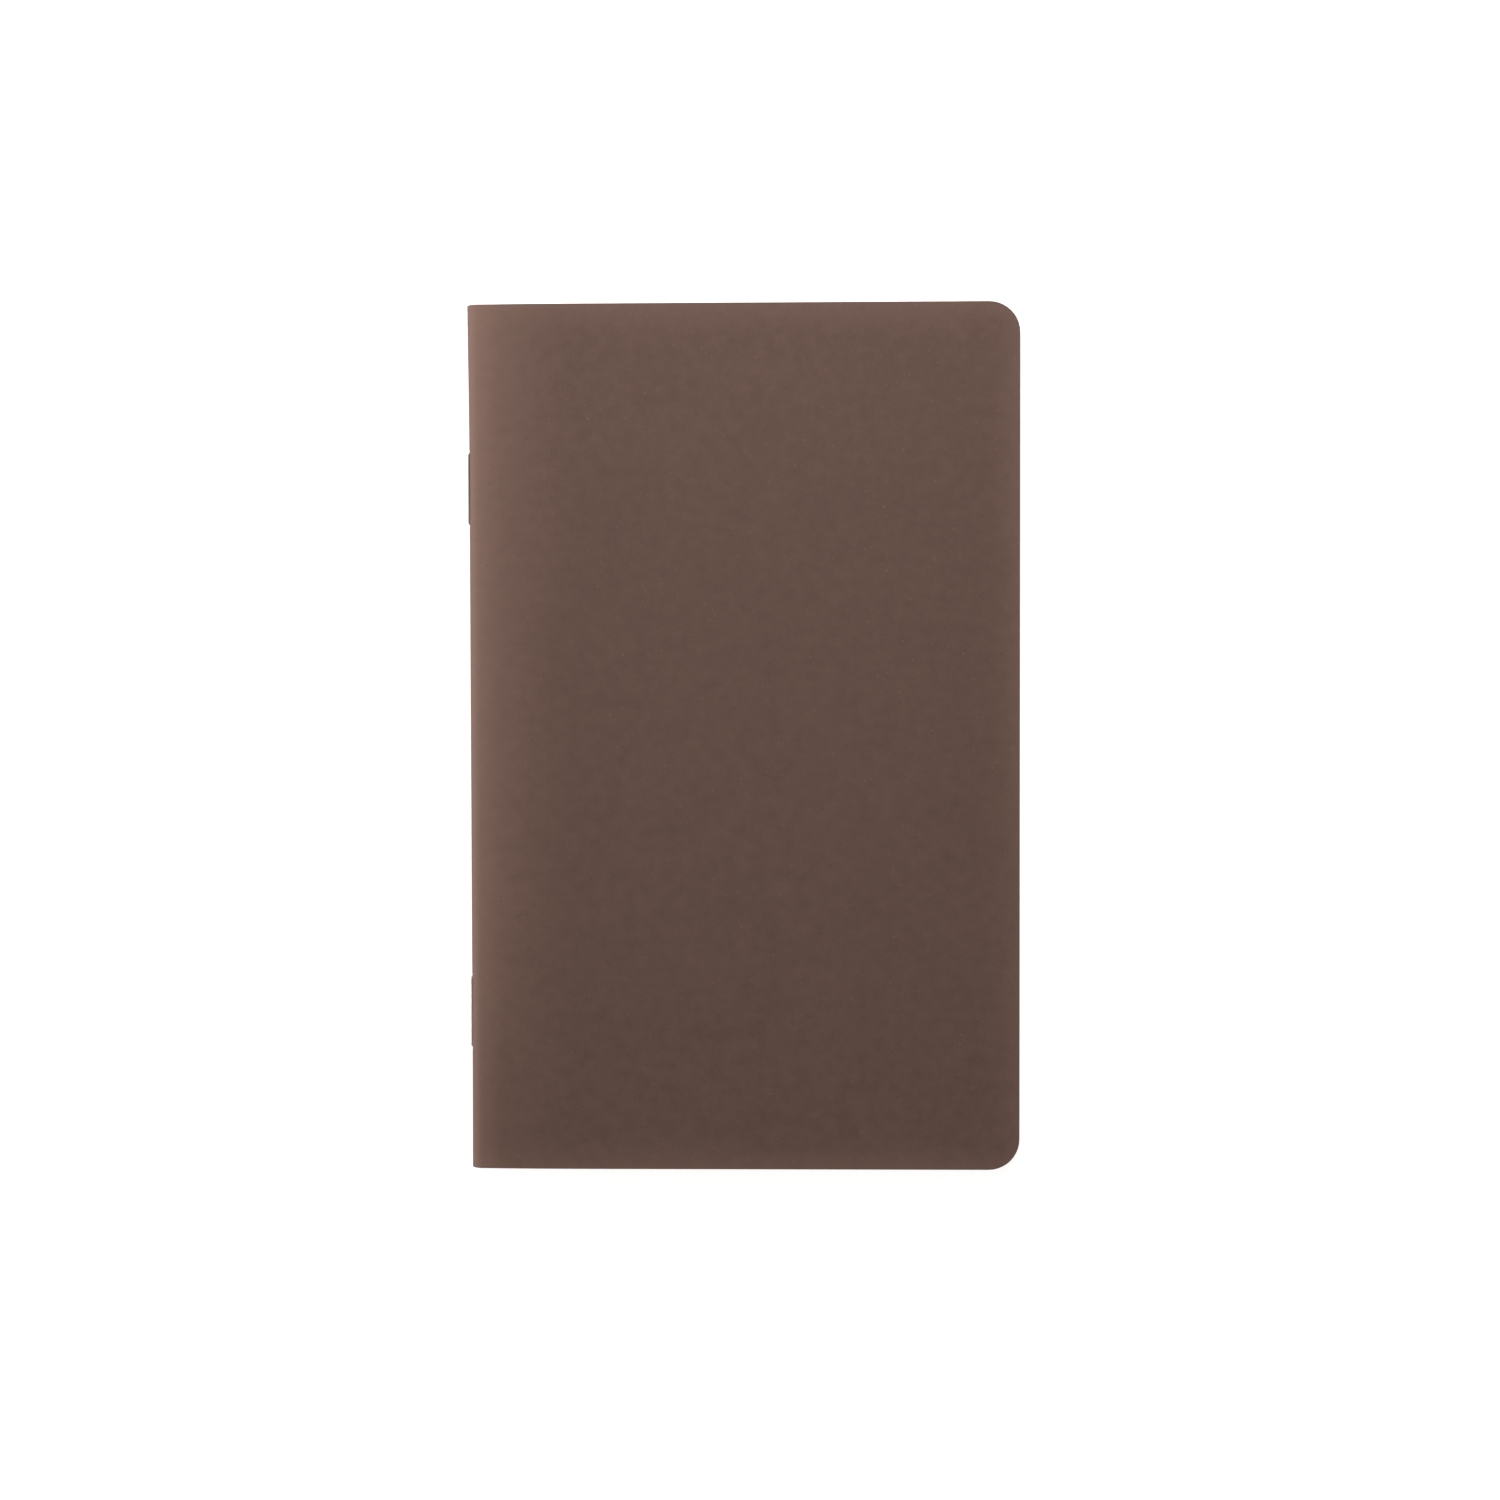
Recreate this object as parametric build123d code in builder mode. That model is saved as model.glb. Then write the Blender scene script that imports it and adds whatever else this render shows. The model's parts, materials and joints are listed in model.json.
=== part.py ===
"""Pocket notebook, saddle-stapled: a folded card cover, nested folded sheets and two wire staples.

Millimetres, +Z up. The notebook lies closed on its back cover, with the spine along -X, the fore
edge along +X and the head of the page along +Y. The origin is the middle of its base.

Every sheet is one piece of paper, folded in half round one fold axis inside the spine. Each is made
as two leaves, which turn about the fold axis, and the narrow fold strip between them, which the
staples hold. All that stays with the spine lies within spine_radius of the fold axis, and all that
turns about it stays turning_gap further out.
"""

import os
from math import sqrt

from build123d import *

# Page
closed_width = 89.0  # back of the spine to the fore edge
page_height = 140.0  # head to tail
corner_radius = 5.0  # the two trimmed corners at the fore edge

# Card and paper
sheet_count = 12  # folded sheets, so twice as many leaves
paper_thickness = 0.10
cover_thickness = 0.30
leaf_gap = 0.045  # air between one leaf and the next
fold_gap = 0.008  # the same at the folds, where the staples pull the sheets together

# Staples
wire_diameter = 0.40
crown_length = 12.0  # over the outside of the two legs
clinch_length = 4.2  # each leg's bent end, along the gutter
bend_radius = 0.45  # at the middle of the wire
crown_bite = 0.15  # how far the crown is pulled into the cover
wire_clearance = 0.05  # between the clinched legs and the innermost sheet
hole_clearance = 0.03  # round the wire, where it goes through the folds
head_to_staple = 29.5  # head of the page to the middle of the upper staple
tail_to_staple = 25.4  # tail of the page to the middle of the lower staple

# Turning
fold_stub = 0.5  # how far the fold strips reach past the spine's own radius
turning_gap = 0.15  # between the fold strips and the leaves that turn about them

# Distances from the fold axis
gutter = wire_diameter / 2 + wire_clearance
leaf_pitch = paper_thickness + leaf_gap
fold_pitch = paper_thickness + fold_gap
panel_inside = gutter + sheet_count * leaf_pitch
panel_outside = panel_inside + cover_thickness
spine_inside = gutter + sheet_count * fold_pitch
spine_outside = spine_inside + cover_thickness
spine_radius = spine_outside + fold_stub
turning_radius = spine_radius + turning_gap
crown_offset = spine_outside - crown_bite + wire_diameter / 2

# Places across the notebook
overall_width = closed_width + wire_diameter - crown_bite
fore_edge = overall_width / 2
axis_x = fore_edge - closed_width + spine_outside
axis_z = panel_outside

fold_plane = Plane(origin=(axis_x, 0, axis_z), x_dir=(1, 0, 0), z_dir=(0, -1, 0))


def make_panel(inside, thickness, side):
    """A flat panel from the spine to the fore edge, above (side 1) or below (side -1) the axis."""
    start = axis_x + sqrt(turning_radius**2 - inside**2)
    bottom = axis_z + inside if side > 0 else axis_z - inside - thickness
    with BuildPart() as panel:
        with BuildSketch(Plane.XY.offset(bottom)) as outline:
            with Locations(((start + fore_edge) / 2, 0)):
                Rectangle(fore_edge - start, page_height)
            fillet(outline.vertices().group_by(Axis.X)[-1], radius=corner_radius)
        extrude(amount=thickness)
    return panel


def make_fold(inside, thickness, wires):
    """A strip bent round the fold axis, open towards the fore edge, with the staples' holes."""
    outside = inside + thickness
    reach = sqrt(spine_radius**2 - outside**2)
    with BuildPart() as fold:
        with BuildSketch(fold_plane):
            with BuildLine():
                Line((reach, outside), (0, outside))
                ThreePointArc((0, outside), (-outside, 0), (0, -outside))
                Line((0, -outside), (reach, -outside))
                Line((reach, -outside), (reach, -inside))
                Line((reach, -inside), (0, -inside))
                ThreePointArc((0, -inside), (-inside, 0), (0, inside))
                Line((0, inside), (reach, inside))
                Line((reach, inside), (reach, outside))
            make_face()
        extrude(amount=page_height / 2, both=True)
        for wire in wires:
            add(wire.part, mode=Mode.SUBTRACT)
    return fold


def make_wire(middle, diameter):
    """A closed staple centred at Y = middle: crown behind the spine, legs clinched in the gutter."""
    low = middle - (crown_length - wire_diameter) / 2
    high = middle + (crown_length - wire_diameter) / 2
    crown_x = axis_x - crown_offset
    start = (axis_x, low + clinch_length, axis_z)
    with BuildPart() as wire:
        with BuildLine() as path:
            FilletPolyline(
                start,
                (axis_x, low, axis_z),
                (crown_x, low, axis_z),
                (crown_x, high, axis_z),
                (axis_x, high, axis_z),
                (axis_x, high - clinch_length, axis_z),
                radius=bend_radius,
            )
        with BuildSketch(Plane(origin=start, z_dir=(0, -1, 0))):
            Circle(diameter / 2)
        sweep(path=path.line)
    return wire


def save(piece, name):
    piece.part.label = name
    export_step(piece.part, f"parts/{name}.step")


os.makedirs("parts", exist_ok=True)

# Staples, and the slightly fatter wires that cut their holes
staple_places = {
    "head_staple": page_height / 2 - head_to_staple,
    "tail_staple": tail_to_staple - page_height / 2,
}
hole_wires = []
for name, middle in staple_places.items():
    save(make_wire(middle, wire_diameter), name)
    hole_wires.append(make_wire(middle, wire_diameter + 2 * hole_clearance))

# Cover: one card, as two panels and the strip round the spine
save(make_panel(panel_inside, cover_thickness, 1), "front_cover")
save(make_panel(panel_inside, cover_thickness, -1), "back_cover")
save(make_fold(spine_inside, cover_thickness, hole_wires), "cover_spine")

# Sheets, from the outermost to the one in the middle
for number in range(1, sheet_count + 1):
    sheets_within = sheet_count - number
    leaf_inside = gutter + sheets_within * leaf_pitch
    fold_inside = gutter + sheets_within * fold_pitch
    save(make_panel(leaf_inside, paper_thickness, 1), f"sheet_{number:02d}_front_leaf")
    save(make_panel(leaf_inside, paper_thickness, -1), f"sheet_{number:02d}_back_leaf")
    save(make_fold(fold_inside, paper_thickness, hole_wires), f"sheet_{number:02d}_fold")
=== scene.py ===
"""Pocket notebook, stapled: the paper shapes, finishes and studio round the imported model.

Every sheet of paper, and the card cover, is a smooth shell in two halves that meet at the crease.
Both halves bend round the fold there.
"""

import json
import math

import bpy
import numpy as np
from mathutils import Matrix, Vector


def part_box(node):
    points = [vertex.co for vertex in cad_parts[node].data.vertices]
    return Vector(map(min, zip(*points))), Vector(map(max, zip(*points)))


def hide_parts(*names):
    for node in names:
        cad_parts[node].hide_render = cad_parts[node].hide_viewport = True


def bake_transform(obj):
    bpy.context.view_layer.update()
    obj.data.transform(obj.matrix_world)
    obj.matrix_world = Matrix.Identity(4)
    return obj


bl_info = {
    "name": "Stapled Pocket Notebook",
    "version": (1, 0, 0),
    "blender": (4, 5, 0),
    "location": "View3D > Sidebar > Notebook",
    "description": "Builds the cover, sheets, staples and studio of a stapled pocket notebook",
    "category": "Object",
}

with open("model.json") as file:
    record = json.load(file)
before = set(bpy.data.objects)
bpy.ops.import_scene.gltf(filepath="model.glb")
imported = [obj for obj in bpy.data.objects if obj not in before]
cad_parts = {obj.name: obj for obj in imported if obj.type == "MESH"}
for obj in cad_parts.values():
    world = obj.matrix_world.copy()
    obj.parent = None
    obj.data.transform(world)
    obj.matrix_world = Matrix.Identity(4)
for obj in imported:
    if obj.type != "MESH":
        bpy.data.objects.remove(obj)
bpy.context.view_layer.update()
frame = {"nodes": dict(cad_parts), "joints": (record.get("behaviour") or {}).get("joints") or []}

MM = 0.001
SHEETS = sorted({name[6:8] for name in frame["nodes"] if name.startswith("sheet_")})
SIDES = {"front": 1, "back": -1}
LIGHTS = (  # name, place and size in metres, power in watts
    ("head_light", (-0.02, 0.30, 0.27), 0.30, 1.33),
    ("spine_light", (-1.50, 0.08, 0.52), 0.70, 12.5),
    ("fill_light", (1.20, -0.95, 0.14), 0.60, 13.0),
)
FOLD_AXIS = next(j["pos_m"] for j in frame["joints"] if j["name"] == "spine_turn")
AXIS_X = FOLD_AXIS[0]
AXIS_Z = FOLD_AXIS[2]
COVER_LOW, COVER_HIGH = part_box("front_cover")
FORE_EDGE = COVER_HIGH.x - AXIS_X
HALF_PAGE = COVER_HIGH.y
COVER_ROWS = 141  # points from tail to head across one half of the cover
SHEET_ROWS = 71  # the same for a sheet of paper
FOLD_POINTS = 13  # along the path: round the fold, then to the trimmed corner, then past it
FLAT_POINTS = 21
CORNER_POINTS = 10
PAPER_SHARE = 0.9  # a sheet's drawn thickness as a share of its real one
CROWNS = [
    (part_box(name)[0].y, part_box(name)[1].y) for name in ("head_staple", "tail_staple")
]


# ---------------------------------------------------------------- sizes and colours


class NotebookPaperSettings(bpy.types.PropertyGroup):
    """Shapes that the cover and the sheets share"""

    corner_radius: bpy.props.FloatProperty(
        name="Corner radius",
        description="Radius of the two trimmed corners at the fore edge",
        default=5.0 * MM,
        unit="LENGTH",
    )
    rise_length: bpy.props.FloatProperty(
        name="Rise from the spine",
        description="How far from the fold the paper takes to come near its full height",
        default=7.0 * MM,
        unit="LENGTH",
    )
    waviness: bpy.props.FloatProperty(
        name="Waviness",
        description="How far the paper dips below flat, as a share of its height over the fold",
        default=0.035,
    )
    crown_pull: bpy.props.FloatProperty(
        name="Staple pull",
        description="How far the crowns press the folds in, as a share of each fold's radius",
        default=0.06,
    )
    head_spring: bpy.props.FloatProperty(
        name="Spring at the head",
        description="How far the folds stand out at the head, as a share of each fold's radius",
        default=0.13,
    )
    tail_spring: bpy.props.FloatProperty(
        name="Spring at the tail",
        description="How far the folds stand out at the tail, as a share of each fold's radius",
        default=0.03,
    )


class NotebookCoverSettings(bpy.types.PropertyGroup):
    """Finish of the card cover"""

    card_colour: bpy.props.FloatVectorProperty(
        name="Card colour",
        description="Dyed card of the cover",
        subtype="COLOR",
        size=4,
        default=(0.116, 0.0655, 0.049, 1.0),
    )
    # Colour of rubbed card, and also the colour of the painted highlight beside the spine.
    worn_and_lit_colour: bpy.props.FloatVectorProperty(
        name="Worn colour",
        description="The same card where handling has rubbed its edges and folds lighter",
        subtype="COLOR",
        size=4,
        default=(0.285, 0.168, 0.131, 1.0),
    )
    wear_width: bpy.props.FloatProperty(
        name="Wear and painted light width",
        description="How far the rubbed band reaches in from a trimmed edge",
        default=8.0 * MM,
        unit="LENGTH",
    )
    # Partly painted highlight: the band by the fold is drawn lighter both for rubbing and for light
    # falling on the cover's curve there.
    fold_wear_and_light_width: bpy.props.FloatProperty(
        name="Fold wear width",
        description="How far the rubbed band reaches in from the fold",
        default=7.0 * MM,
        unit="LENGTH",
    )
    # Painted highlight: how far from the fold the card is drawn lighter, standing in for light falling
    # on the cover's slope.
    painted_light_width: bpy.props.FloatProperty(
        name="Fading width",
        description="How far the slow fading beside the fold reaches",
        default=20.0 * MM,
        unit="LENGTH",
    )


class NotebookSheetSettings(bpy.types.PropertyGroup):
    """Finish of the paper sheets"""

    paper_colour: bpy.props.FloatVectorProperty(
        name="Paper colour",
        description="Ivory writing paper",
        subtype="COLOR",
        size=4,
        default=(0.78, 0.715, 0.59, 1.0),
    )
    line_colour: bpy.props.FloatVectorProperty(
        name="Line colour",
        description="Printed writing lines",
        subtype="COLOR",
        size=4,
        default=(0.42, 0.41, 0.40, 1.0),
    )
    line_pitch: bpy.props.FloatProperty(
        name="Line pitch",
        description="From one writing line to the next",
        default=6.0 * MM,
        unit="LENGTH",
    )
    line_width: bpy.props.FloatProperty(
        name="Line width",
        description="Thickness of a writing line",
        default=0.16 * MM,
        unit="LENGTH",
    )
    head_margin: bpy.props.FloatProperty(
        name="Head margin",
        description="Bare paper above the first line",
        default=15.0 * MM,
        unit="LENGTH",
    )
    tail_margin: bpy.props.FloatProperty(
        name="Tail margin",
        description="Bare paper below the last line",
        default=7.0 * MM,
        unit="LENGTH",
    )


class NotebookStapleSettings(bpy.types.PropertyGroup):
    """Finish of the staples"""

    wire_colour: bpy.props.FloatVectorProperty(
        name="Wire colour",
        description="Drawn steel wire",
        subtype="COLOR",
        size=4,
        default=(0.80, 0.70, 0.60, 1.0),
    )
    # The head staple's wire is drawn darker than the tail staple's; these set how far each is
    # darkened.
    head_darkness: bpy.props.FloatProperty(
        name="Head staple tarnish",
        description="How far tarnish has darkened the staple at the head, from 0 to 1",
        default=1.0,
        subtype="FACTOR",
    )
    tail_darkness: bpy.props.FloatProperty(
        name="Tail staple tarnish",
        description="How far tarnish has darkened the staple at the tail, from 0 to 1",
        default=0.0,
        subtype="FACTOR",
    )
    darkness_share: bpy.props.FloatProperty(
        name="Tarnish darkening",
        description="Share of the wire's colour that full tarnish takes away",
        default=0.62,
        subtype="FACTOR",
    )


class NotebookStageSettings(bpy.types.PropertyGroup):
    """Floor, lights and camera"""

    floor_colour: bpy.props.FloatVectorProperty(
        name="Floor colour",
        description="Plain pale floor",
        subtype="COLOR",
        size=4,
        default=(0.80, 0.80, 0.80, 1.0),
    )
    camera_place: bpy.props.FloatVectorProperty(
        name="Camera place",
        description="Where the camera stands, almost straight above the cover",
        subtype="TRANSLATION",
        default=(7.97 * MM, 6.59 * MM, 340.78 * MM),
    )
    camera_turn: bpy.props.FloatVectorProperty(
        name="Camera turn",
        description="The camera's turn from looking straight down",
        subtype="EULER",
        default=[math.radians(a) for a in (-1.451, 1.160, -0.121)],
    )
    lens: bpy.props.FloatProperty(
        name="Lens", description="Focal length in millimetres", default=50.0
    )
    floor_reach: bpy.props.FloatProperty(
        name="Floor reach",
        description="From the notebook to each edge of the square floor",
        default=0.45,
        unit="LENGTH",
    )
    floor_glow: bpy.props.FloatProperty(
        name="Floor glow", description="How much the floor is lifted towards white", default=0.74
    )
    dome_strength: bpy.props.FloatProperty(
        name="Dome strength", description="Light from all round on the notebook", default=0.13
    )


# ---------------------------------------------------------------- paper shapes


def sheet_path(fold_radius, panel_height, settings):
    """Half a folded sheet seen along the fold, from the crease to the fore edge.

    A quarter circle of fold_radius round the fold axis, then a nearly flat run whose height h over
    the axis goes from fold_radius r to panel_height p as h = r + (p - r) (1 - exp(-(s / a)^1.2)),
    where s is the distance from the axis and a is the rise length. Returns s and h, both as arrays,
    and the length of paper from the crease to each point.
    """
    turn = math.pi / 2 * np.linspace(0, 1, FOLD_POINTS) ** 1.4
    corner = settings.corner_radius
    flat = (FORE_EDGE - corner) * np.linspace(0, 1, FLAT_POINTS + 1)[1:] ** 2
    rounded = np.linspace(0, math.pi / 2, CORNER_POINTS + 1)[1:]
    rounded = FORE_EDGE - corner + corner * np.sin(rounded)
    run = np.concatenate([flat, rounded])
    rise = 1 - np.exp(-((run / settings.rise_length) ** 1.2))
    s = np.concatenate([-fold_radius * np.cos(turn), run])
    h = np.concatenate([fold_radius * np.sin(turn), fold_radius + (panel_height - fold_radius) * rise])
    length = np.concatenate([[0], np.cumsum(np.hypot(np.diff(s), np.diff(h)))])
    return s, h, length


def half_width(s, corner):
    """Half the sheet's height at distance s: full, then a quarter circle at the trimmed corner."""
    into = np.clip(s - (FORE_EDGE - corner), 0, corner)
    return HALF_PAGE - corner + np.sqrt(corner**2 - into**2)


def edge_distance(s, y, corner):
    """How far a point lies from the nearest trimmed edge, measured round the trimmed corner."""
    from_fore = FORE_EDGE - s
    from_end = HALF_PAGE - np.abs(y)
    in_corner = (from_fore < corner) & (from_end < corner)
    round_corner = corner - np.hypot(corner - from_fore, corner - from_end)
    return np.clip(np.where(in_corner, round_corner, np.minimum(from_fore, from_end)), 0, None)


def waves(s, y):
    """A slow ripple from 0 to -1: two long waves multiplied, plus a weaker short one that runs aslant.

    It is faded out at the fold.
    """
    along = np.sin(y / (23 * MM) + 0.8) * np.cos(s / (31 * MM) - 0.5)
    across = 0.35 * np.sin(y / (11 * MM) + s / (17 * MM))
    fade = 1 - np.exp(-np.clip(s, 0, None) / (20 * MM))
    return (0.5 * (along + across) - 0.675) / 1.35 * fade


def staple_window(y):
    """1 under a staple's crown and 0 away from it, with soft ends."""
    soft = 0.5 * MM
    inside = [np.tanh((y - low) / soft) * np.tanh((high - y) / soft) for low, high in CROWNS]
    return np.clip(np.maximum(*inside), 0, 1)


def fold_spring(y, settings):
    """How far the fold stands out beyond the staples: it grows from the crown to the page's end."""
    (head_low, head_high), (tail_low, tail_high) = CROWNS
    at_head = np.clip((y - head_high) / (HALF_PAGE - head_high), 0, 1)
    at_tail = np.clip((tail_low - y) / (HALF_PAGE + tail_low), 0, 1)
    return settings.head_spring * at_head**1.3 + settings.tail_spring * at_tail**1.3


def make_half_sheet(name, side, fold_radius, panel_height, thickness, rows, settings):
    """A closed shell for half a folded sheet.

    Its middle surface is sheet_path carried along Y. The fold's distance from its axis is multiplied
    by 1, less the pull under the staples, plus the spring beyond them. The height dips with the
    waves, and the two faces lie half a thickness either side along the path's own normal.
    """
    corner = settings.corner_radius
    path_s, path_h, length = sheet_path(fold_radius, panel_height, settings)
    v = np.linspace(-1, 1, rows)
    s = np.repeat(path_s[:, None], rows, axis=1)
    y = v[None, :] * half_width(path_s, corner)[:, None]
    near_crease = np.exp(-((path_h / (0.5 * fold_radius)) ** 2)) * (path_s < 0)
    pull = 1 - settings.crown_pull * near_crease[:, None] * staple_window(y)
    pull = np.where(s < 0, pull + fold_spring(y, settings), pull)
    h = path_h[:, None] * (1 + settings.waviness * waves(s, y))
    along_s, along_h = np.gradient(path_s), np.gradient(path_h)
    size = np.hypot(along_s, along_h)
    normal_s, normal_h = -along_h / size, along_s / size

    faces = []
    for offset in (thickness / 2, -thickness / 2):
        x = AXIS_X + s * pull + offset * normal_s[:, None]
        z = AXIS_Z + side * (h + offset * normal_h[:, None])
        faces.append(np.stack([x, y, z], axis=-1).reshape(-1, 3))
    points = np.concatenate(faces)

    columns = len(path_s)
    index = np.arange(columns * rows).reshape(columns, rows)
    upper = np.stack([index[:-1, :-1], index[1:, :-1], index[1:, 1:], index[:-1, 1:]], -1)
    upper = upper.reshape(-1, 4)
    lower = upper[:, ::-1] + columns * rows
    loop = np.concatenate([index[:-1, 0], index[-1, :-1], index[:0:-1, -1], index[0, :0:-1]])
    ahead = np.roll(loop, -1)
    rim = np.stack([loop, loop + columns * rows, ahead + columns * rows, ahead], -1)
    quads = np.concatenate([upper, lower, rim])
    if side < 0:
        quads = quads[:, ::-1]

    mesh = bpy.data.meshes.new(name)
    mesh.from_pydata(points.tolist(), [], quads.tolist())
    mesh.shade_smooth()
    mesh.set_sharp_from_angle(angle=math.radians(50))
    paper = np.stack([np.repeat(length[:, None], rows, axis=1), y], -1).reshape(-1, 2)
    paper = np.concatenate([paper, paper])
    mesh.uv_layers.new(name="paper").data.foreach_set("uv", paper[quads.ravel()].ravel())
    trim = edge_distance(s, y, corner).ravel()
    trim = np.concatenate([trim, trim])
    mesh.attributes.new("trim", "FLOAT", "POINT").data.foreach_set("value", trim.astype(np.float32))
    mesh.update()
    piece = bpy.data.objects.new(name, mesh)
    bpy.context.scene.collection.objects.link(piece)
    return piece


def bend_at_fold(piece):
    """Bakes the piece's transform into its mesh.
    """
    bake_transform(piece)


def leaf_height(number):
    """Height over the fold axis of a leaf's middle surface."""
    low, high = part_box(f"sheet_{number}_front_leaf")
    return (low.z + high.z) / 2 - AXIS_Z


def spread_leaves(heights):
    """The same leaves, settled evenly from the outermost one to the two that meet in the middle."""
    pitch = heights[0] / (len(heights) - 0.5)
    return [heights[0] - pitch * step for step in range(len(heights))]


def fold_radius_of(node, thickness):
    """Radius of a fold strip's middle surface."""
    return AXIS_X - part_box(node)[0].x - thickness / 2


# ---------------------------------------------------------------- shader parts


def add_node(tree, kind, inputs=None, **settings):
    """A new node with its settings and its input values or links set."""
    node = tree.nodes.new(kind)
    for key, value in settings.items():
        setattr(node, key, value)
    for key, value in (inputs or {}).items():
        if isinstance(value, bpy.types.NodeSocket):
            tree.links.new(value, node.inputs[key])
        else:
            node.inputs[key].default_value = value
    return node


def calculate(tree, operation, a, b=0.0, clamp=False):
    """The output of one Math node."""
    node = add_node(tree, "ShaderNodeMath", {0: a, 1: b}, operation=operation, use_clamp=clamp)
    return node.outputs[0]


def blend_colours(tree, factor, a, b):
    """The output of a Mix node that goes from colour a to colour b."""
    mix = add_node(tree, "ShaderNodeMix", {0: factor}, data_type="RGBA", clamp_factor=True)
    for socket, value in ((mix.inputs[6], a), (mix.inputs[7], b)):
        if isinstance(value, bpy.types.NodeSocket):
            tree.links.new(value, socket)
        else:
            socket.default_value = value
    return mix.outputs[2]


def rescale(tree, value, low, high, to_low=0.0, to_high=1.0, interpolation="LINEAR"):
    """The output of a Map Range node, which takes low to to_low and high to to_high."""
    sockets = {0: value, 1: low, 2: high, 3: to_low, 4: to_high}
    node = add_node(tree, "ShaderNodeMapRange", sockets, interpolation_type=interpolation)
    return node.outputs[0]


def noise(tree, vector, scale, detail, roughness=0.5):
    """The output of a Noise Texture node."""
    sockets = {"Vector": vector, "Scale": scale, "Detail": detail, "Roughness": roughness}
    return add_node(tree, "ShaderNodeTexNoise", sockets).outputs[0]


def new_group(name, inputs, outputs):
    """A shader node group with named inputs (name, kind, default) and outputs (name, kind)."""
    group = bpy.data.node_groups.new(name, "ShaderNodeTree")
    for label, kind, default in inputs:
        socket = group.interface.new_socket(name=label, in_out="INPUT", socket_type=kind)
        if default is not None:
            socket.default_value = default
    for label, kind in outputs:
        group.interface.new_socket(name=label, in_out="OUTPUT", socket_type=kind)
    return group, group.nodes.new("NodeGroupInput"), group.nodes.new("NodeGroupOutput")


def fibre_group():
    """Pressed paper fibres: a surface height, a slow mottle from 0 to 1, and pale and dark specks."""
    if "Paper fibres" in bpy.data.node_groups:
        return bpy.data.node_groups["Paper fibres"]
    inputs = [
        ("Vector", "NodeSocketVector", None),
        ("Fibre scale", "NodeSocketFloat", 3200.0),
        ("Mottle scale", "NodeSocketFloat", 70.0),
    ]
    labels = ("Height", "Mottle", "Pale specks", "Dark specks")
    outputs = [(label, "NodeSocketFloat") for label in labels]
    group, taken, given = new_group("Paper fibres", inputs, outputs)
    stretched = add_node(
        group, "ShaderNodeMapping", {"Vector": taken.outputs[0], "Scale": (1.0, 0.38, 1.0)}
    )
    fibres = noise(group, stretched.outputs[0], taken.outputs[1], 4.0, 0.62)
    felt_scale = calculate(group, "MULTIPLY", taken.outputs[1], 0.21)
    felt = noise(group, taken.outputs[0], felt_scale, 3.0, 0.55)
    height = calculate(group, "MULTIPLY", calculate(group, "ADD", fibres, felt), 0.5)
    fine = noise(group, taken.outputs[0], taken.outputs[2], 4.0, 0.6)
    broad_scale = calculate(group, "MULTIPLY", taken.outputs[2], 0.22)
    broad = noise(group, taken.outputs[0], broad_scale, 4.0, 0.6)
    fine_share = calculate(group, "MULTIPLY", fine, 0.68)
    mottle = calculate(group, "ADD", fine_share, calculate(group, "MULTIPLY", broad, 0.32))
    speck_scale = calculate(group, "MULTIPLY", taken.outputs[1], 0.75)
    spots = noise(group, taken.outputs[0], speck_scale, 0.0)
    pale = rescale(group, spots, 0.79, 0.85)
    dark = rescale(group, spots, 0.20, 0.14)
    group.links.new(height, given.inputs[0])
    group.links.new(mottle, given.inputs[1])
    group.links.new(pale, given.inputs[2])
    group.links.new(dark, given.inputs[3])
    return group


def wear_and_light_group():
    """A band mask for rubbed edges and for painted light beside the fold: it falls from 1 at the edge
    to 0 at the width, broken up by fibres.
    """
    if "Wear and painted light" in bpy.data.node_groups:
        return bpy.data.node_groups["Wear and painted light"]
    inputs = [
        ("Distance", "NodeSocketFloat", 0.0),
        ("Width", "NodeSocketFloat", 0.003),
        ("Softness", "NodeSocketFloat", 2.0),
        ("Break up", "NodeSocketFloat", 0.5),
    ]
    group, taken, given = new_group("Wear and painted light", inputs, [("Mask", "NodeSocketFloat")])
    share = calculate(group, "DIVIDE", taken.outputs[0], taken.outputs[1])
    band = calculate(group, "SUBTRACT", 1.0, share, clamp=True)
    soft = calculate(group, "POWER", band, taken.outputs[2])
    uneven = calculate(group, "ADD", calculate(group, "MULTIPLY", taken.outputs[3], 0.6), 0.7)
    mask = calculate(group, "MULTIPLY", soft, uneven, clamp=True)
    group.links.new(mask, given.inputs[0])
    return group


def new_material(name):
    """A material with an empty tree but for its Principled shader and output. Returns both."""
    material = bpy.data.materials.new(name)
    material.use_nodes = True
    tree = material.node_tree
    tree.nodes.clear()
    shader = tree.nodes.new("ShaderNodeBsdfPrincipled")
    output = tree.nodes.new("ShaderNodeOutputMaterial")
    tree.links.new(shader.outputs[0], output.inputs[0])
    return material, tree, shader


def place_fibres(tree, fibre_scale, mottle_scale):
    """The fibre group on the paper's own UV map, so that the pattern follows the sheet."""
    paper = add_node(tree, "ShaderNodeUVMap", uv_map="paper")
    return add_node(
        tree,
        "ShaderNodeGroup",
        {"Vector": paper.outputs[0], "Fibre scale": fibre_scale, "Mottle scale": mottle_scale},
        node_tree=fibre_group(),
    )


def wear_and_light_mask(tree, distance, width, softness, break_up):
    """The output of the wear and painted light group for one band."""
    sockets = {"Distance": distance, "Width": width, "Softness": softness, "Break up": break_up}
    return add_node(tree, "ShaderNodeGroup", sockets, node_tree=wear_and_light_group()).outputs[0]


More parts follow.
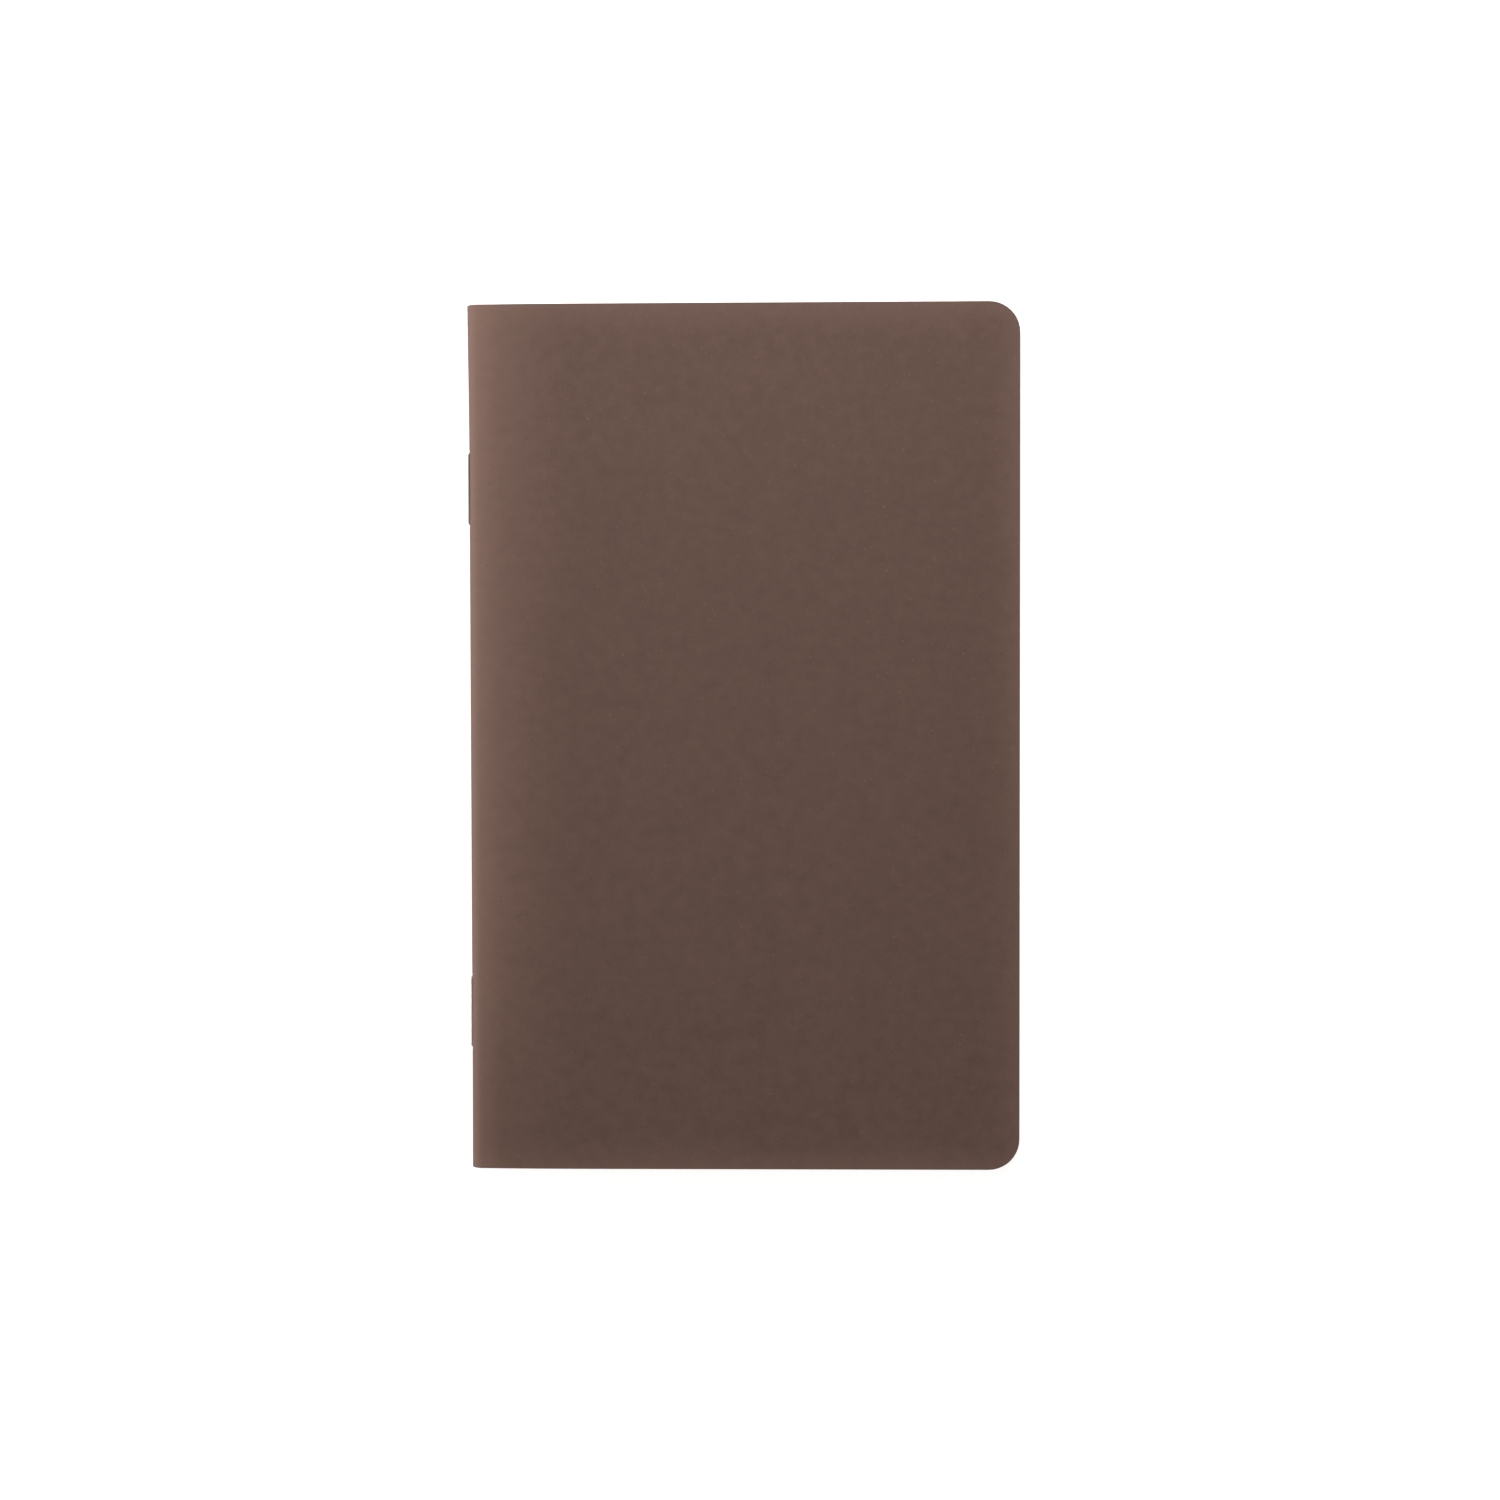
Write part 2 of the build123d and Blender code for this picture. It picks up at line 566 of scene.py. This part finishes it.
def card_material(settings):
    """Dyed cover card: felt-marked matte surface, faint mottle, rubbed lighter at edges and fold, and
    a painted highlight at the fold and in a wide band beside the spine, weaker towards the tail.
    """
    material, tree, shader = new_material("dyed_cover_card")
    fibres = place_fibres(tree, 2600.0, 430.0)
    height, mottle, pale, dark = fibres.outputs
    trim = add_node(tree, "ShaderNodeAttribute", attribute_name="trim").outputs["Fac"]
    paper = add_node(tree, "ShaderNodeUVMap", uv_map="paper")
    from_crease, up, _ = add_node(tree, "ShaderNodeSeparateXYZ", {0: paper.outputs[0]}).outputs
    # Painted light: a wide lighter band beside the spine, weaker towards the tail, stands in for light
    # falling on the cover's slope there.
    above_tail = rescale(tree, up, -HALF_PAGE, -0.35 * HALF_PAGE, 0.40, 1.0, "SMOOTHSTEP")
    painted_spine_light = wear_and_light_mask(tree, from_crease, settings.painted_light_width, 1.9, mottle)
    bands = (  # how strongly each mask shows, and the mask
        (0.25, wear_and_light_mask(tree, trim, settings.wear_width, 2.6, height)),
        # rubbed fold, partly a painted highlight on the cover's curve by the spine
        (0.92, wear_and_light_mask(tree, from_crease, settings.fold_wear_and_light_width, 2.0, height)),
        # painted highlight beside the spine, weaker towards the tail
        (0.62, calculate(tree, "MULTIPLY", painted_spine_light, above_tail)),
        (0.12, rescale(tree, mottle, 0.35, 0.65)),
        (0.07, rescale(tree, height, 0.35, 0.65)),
        (0.30, pale),
    )
    colour = settings.card_colour
    for strength, mask in bands:
        share = calculate(tree, "MULTIPLY", mask, strength)
        colour = blend_colours(tree, share, colour, settings.worn_and_lit_colour)
    shade = [c * 0.55 for c in settings.card_colour[:3]] + [1.0]
    colour = blend_colours(tree, calculate(tree, "MULTIPLY", dark, 0.35), colour, shade)
    tree.links.new(colour, shader.inputs["Base Color"])
    rough = rescale(tree, mottle, 0.0, 1.0, 0.60, 0.76)
    tree.links.new(rough, shader.inputs["Roughness"])
    shader.inputs["Specular IOR Level"].default_value = 0.30
    shader.inputs["Sheen Weight"].default_value = 0.03
    bump = add_node(tree, "ShaderNodeBump", {"Height": height, "Strength": 0.5, "Distance": 0.05 * MM})
    tree.links.new(bump.outputs[0], shader.inputs["Normal"])
    return material


def ruled_lines(tree, trim, settings):
    """1 on a printed writing line and 0 elsewhere, from the paper's own UV map.

    The lines stop just short of the gutter and of the trimmed edges.
    """
    paper = add_node(tree, "ShaderNodeUVMap", uv_map="paper")
    split = add_node(tree, "ShaderNodeSeparateXYZ", {0: paper.outputs[0]})
    along, up = split.outputs[0], split.outputs[1]
    from_head = calculate(tree, "SUBTRACT", HALF_PAGE - settings.head_margin, up)
    step = calculate(tree, "DIVIDE", from_head, settings.line_pitch)
    from_line = calculate(tree, "SUBTRACT", step, calculate(tree, "ROUND", step))
    nearest = calculate(tree, "ABSOLUTE", from_line)
    distance = calculate(tree, "MULTIPLY", nearest, settings.line_pitch)
    line = rescale(tree, distance, 0.35 * settings.line_width, 0.65 * settings.line_width, 1.0, 0.0)
    below_head = calculate(tree, "GREATER_THAN", from_head, -settings.line_pitch / 2)
    above_tail = calculate(tree, "GREATER_THAN", up, settings.tail_margin - HALF_PAGE)
    within = calculate(tree, "MULTIPLY", below_head, above_tail)
    on_leaf = calculate(tree, "GREATER_THAN", along, 3.0 * MM)
    on_leaf = calculate(tree, "MULTIPLY", on_leaf, calculate(tree, "GREATER_THAN", trim, 0.5 * MM))
    return calculate(tree, "MULTIPLY", calculate(tree, "MULTIPLY", line, within), on_leaf)


def paper_material(settings):
    """Ivory writing paper: fine felt surface, faint cloudiness, printed lines, dusty edges."""
    material, tree, shader = new_material("ivory_writing_paper")
    fibres = place_fibres(tree, 3600.0, 110.0)
    trim = add_node(tree, "ShaderNodeAttribute", attribute_name="trim").outputs["Fac"]
    edge = wear_and_light_mask(tree, trim, 2.0 * MM, 1.8, fibres.outputs["Mottle"])
    clouds = rescale(tree, fibres.outputs["Mottle"], 0.3, 0.7)
    shaded = [c * 0.955 for c in settings.paper_colour[:3]] + [1.0]
    dusty = [c * d for c, d in zip(settings.paper_colour[:3], (0.90, 0.87, 0.82))] + [1.0]
    colour = blend_colours(tree, clouds, settings.paper_colour, shaded)
    colour = blend_colours(tree, calculate(tree, "MULTIPLY", edge, 0.6), colour, dusty)
    printed = calculate(tree, "MULTIPLY", ruled_lines(tree, trim, settings), 0.75)
    colour = blend_colours(tree, printed, colour, settings.line_colour)
    tree.links.new(colour, shader.inputs["Base Color"])
    rough = rescale(tree, fibres.outputs["Height"], 0.0, 1.0, 0.78, 0.92)
    tree.links.new(rough, shader.inputs["Roughness"])
    shader.inputs["Specular IOR Level"].default_value = 0.25
    bump = add_node(
        tree,
        "ShaderNodeBump",
        {"Height": fibres.outputs["Height"], "Strength": 0.22, "Distance": 0.03 * MM},
    )
    tree.links.new(bump.outputs[0], shader.inputs["Normal"])
    return material


def wire_material(name, darkness, settings):
    """Drawn steel wire: fine lengthwise streaks in colour, roughness and surface.

    Darkness, from 0 to 1, darkens it.
    """
    material, tree, shader = new_material(name)
    place = add_node(tree, "ShaderNodeTexCoord")
    drawn = add_node(
        tree, "ShaderNodeMapping", {"Vector": place.outputs["Object"], "Scale": (1.0, 0.08, 1.0)}
    )
    streaks = noise(tree, drawn.outputs[0], 9000.0, 3.0, 0.6)
    left = 1 - settings.darkness_share * darkness
    light = [c * left for c in settings.wire_colour[:3]] + [1.0]
    dark = [c * 0.55 for c in light[:3]] + [1.0]
    colour = blend_colours(tree, streaks, light, dark)
    tree.links.new(colour, shader.inputs["Base Color"])
    rough = rescale(tree, streaks, 0.0, 1.0, 0.40, 0.60)
    tree.links.new(rough, shader.inputs["Roughness"])
    shader.inputs["Metallic"].default_value = 1.0
    bump = add_node(
        tree, "ShaderNodeBump", {"Height": streaks, "Strength": 0.25, "Distance": 0.01 * MM}
    )
    tree.links.new(bump.outputs[0], shader.inputs["Normal"])
    return material


def floor_material(settings):
    """Plain pale matte floor, shown nearly white, with no glow of its own on the notebook."""
    material, tree, shader = new_material("pale_floor")
    shader.inputs["Base Color"].default_value = settings.floor_colour
    shader.inputs["Roughness"].default_value = 0.9
    shader.inputs["Specular IOR Level"].default_value = 0.0
    shader.inputs["Emission Color"].default_value = (1.0, 1.0, 1.0, 1.0)
    seen = add_node(tree, "ShaderNodeLightPath").outputs["Is Camera Ray"]
    glow = calculate(tree, "MULTIPLY", seen, settings.floor_glow)
    tree.links.new(glow, shader.inputs["Emission Strength"])
    return material


# ---------------------------------------------------------------- operators


class NotebookMakeCover(bpy.types.Operator):
    """Make the card cover in two halves that meet at the middle of the spine"""

    bl_idname = "notebook.make_cover"
    bl_label = "Make cover"

    def execute(self, context):
        shapes = context.scene.notebook_paper
        card = card_material(context.scene.notebook_cover)
        thickness = COVER_HIGH.z - COVER_LOW.z
        height = (COVER_HIGH.z + COVER_LOW.z) / 2 - AXIS_Z
        radius = fold_radius_of("cover_spine", thickness)
        for side_name, side in SIDES.items():
            name = f"cover_{side_name}_half"
            piece = make_half_sheet(name, side, radius, height, thickness, COVER_ROWS, shapes)
            piece.data.materials.append(card)
            bend_at_fold(piece)
            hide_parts(f"{side_name}_cover")
        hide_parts("cover_spine")
        return {"FINISHED"}


class NotebookMakeSheets(bpy.types.Operator):
    """Make every folded sheet in two halves that meet at its crease"""

    bl_idname = "notebook.make_sheets"
    bl_label = "Make sheets"

    def execute(self, context):
        shapes = context.scene.notebook_paper
        paper = paper_material(context.scene.notebook_sheets)
        leaf_heights = spread_leaves([leaf_height(number) for number in SHEETS])
        for number, height in zip(SHEETS, leaf_heights):
            for side_name, side in SIDES.items():
                leaf = f"sheet_{number}_{side_name}_leaf"
                low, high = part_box(leaf)
                thickness = high.z - low.z
                radius = fold_radius_of(f"sheet_{number}_fold", thickness)
                drawn = PAPER_SHARE * thickness
                piece = make_half_sheet(
                    f"sheet_{number}_{side_name}_half", side, radius, height, drawn, SHEET_ROWS, shapes
                )
                piece.data.materials.append(paper)
                bend_at_fold(piece)
                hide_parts(leaf)
            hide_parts(f"sheet_{number}_fold")
        return {"FINISHED"}


class NotebookFinishStaples(bpy.types.Operator):
    """Give the two staples their drawn wire finish"""

    bl_idname = "notebook.finish_staples"
    bl_label = "Finish staples"

    def execute(self, context):
        settings = context.scene.notebook_staples
        darknesses = {"head_staple": settings.head_darkness, "tail_staple": settings.tail_darkness}
        for name, darkness in darknesses.items():
            wire = wire_material(f"{name}_wire", darkness, settings)
            staple = frame["nodes"][name]
            staple.data.materials.clear()
            staple.data.materials.append(wire)
        return {"FINISHED"}


class NotebookMakeStage(bpy.types.Operator):
    """Make the pale floor, the soft lights and the camera above the cover"""

    bl_idname = "notebook.make_stage"
    bl_label = "Make stage"

    def execute(self, context):
        settings = context.scene.notebook_stage
        self.make_floor(settings)
        self.make_lights(context.scene, settings)
        self.make_camera(context.scene, settings)
        context.scene.view_settings.view_transform = "Standard"
        return {"FINISHED"}

    def make_floor(self, settings):
        """A square floor just under the notebook."""
        reach = settings.floor_reach
        below = -0.02 * MM
        corners = [(x * reach, y * reach, below) for x, y in ((-1, -1), (1, -1), (1, 1), (-1, 1))]
        mesh = bpy.data.meshes.new("floor")
        mesh.from_pydata(corners, [], [(0, 1, 2, 3)])
        mesh.materials.append(floor_material(settings))
        floor = bpy.data.objects.new("floor", mesh)
        bpy.context.scene.collection.objects.link(floor)

    def make_lights(self, scene, settings):
        """A pale dome, and a soft light each near the head, the spine's side and the fore edge's side.

        The backdrop itself is shown white, and lights the notebook less than it looks.
        """
        world = bpy.data.worlds.new("studio_dome")
        world.use_nodes = True
        tree = world.node_tree
        dome = tree.nodes["Background"]
        dome.inputs["Strength"].default_value = settings.dome_strength
        dome.inputs["Color"].default_value = (1.0, 1.0, 1.0, 1.0)
        backdrop = add_node(tree, "ShaderNodeBackground", {"Color": (1.0, 1.0, 1.0, 1.0)})
        seen = add_node(tree, "ShaderNodeLightPath").outputs["Is Camera Ray"]
        mixed = {0: seen, 1: dome.outputs[0], 2: backdrop.outputs[0]}
        shown = add_node(tree, "ShaderNodeMixShader", mixed)
        tree.links.new(shown.outputs[0], tree.nodes["World Output"].inputs["Surface"])
        scene.world = world
        for name, place, size, power in LIGHTS:
            light = bpy.data.lights.new(name, "AREA")
            light.size = size
            light.energy = power
            lamp = bpy.data.objects.new(name, light)
            lamp.location = place
            lamp.rotation_euler = (-lamp.location).to_track_quat("-Z", "Y").to_euler()
            lamp.visible_camera = False
            scene.collection.objects.link(lamp)

    def make_camera(self, scene, settings):
        """Almost straight above, with a slight lean towards the fore edge and the head."""
        data = bpy.data.cameras.new("camera")
        data.lens = settings.lens
        data.clip_start = 0.01
        data.clip_end = 10.0
        camera = bpy.data.objects.new("camera", data)
        camera.location = settings.camera_place
        camera.rotation_euler = settings.camera_turn
        scene.collection.objects.link(camera)
        scene.camera = camera


class NotebookPanel(bpy.types.Panel):
    """Buttons for each part of the notebook"""

    bl_idname = "VIEW3D_PT_notebook"
    bl_label = "Stapled notebook"
    bl_space_type = "VIEW_3D"
    bl_region_type = "UI"
    bl_category = "Notebook"

    def draw(self, context):
        makers = (NotebookMakeStage, NotebookMakeCover, NotebookMakeSheets, NotebookFinishStaples)
        for operator in makers:
            self.layout.operator(operator.bl_idname)


SETTINGS = {
    "notebook_paper": NotebookPaperSettings,
    "notebook_cover": NotebookCoverSettings,
    "notebook_sheets": NotebookSheetSettings,
    "notebook_staples": NotebookStapleSettings,
    "notebook_stage": NotebookStageSettings,
}
CLASSES = (
    *SETTINGS.values(),
    NotebookMakeCover,
    NotebookMakeSheets,
    NotebookFinishStaples,
    NotebookMakeStage,
    NotebookPanel,
)


def register():
    for cls in CLASSES:
        bpy.utils.register_class(cls)
    for name, group in SETTINGS.items():
        setattr(bpy.types.Scene, name, bpy.props.PointerProperty(type=group))


def unregister():
    for name in SETTINGS:
        delattr(bpy.types.Scene, name)
    for cls in reversed(CLASSES):
        bpy.utils.unregister_class(cls)


def main():
    register()
    bpy.ops.notebook.make_stage()
    bpy.ops.notebook.make_cover()
    bpy.ops.notebook.make_sheets()
    bpy.ops.notebook.finish_staples()


if __name__ == "__main__":
    main()
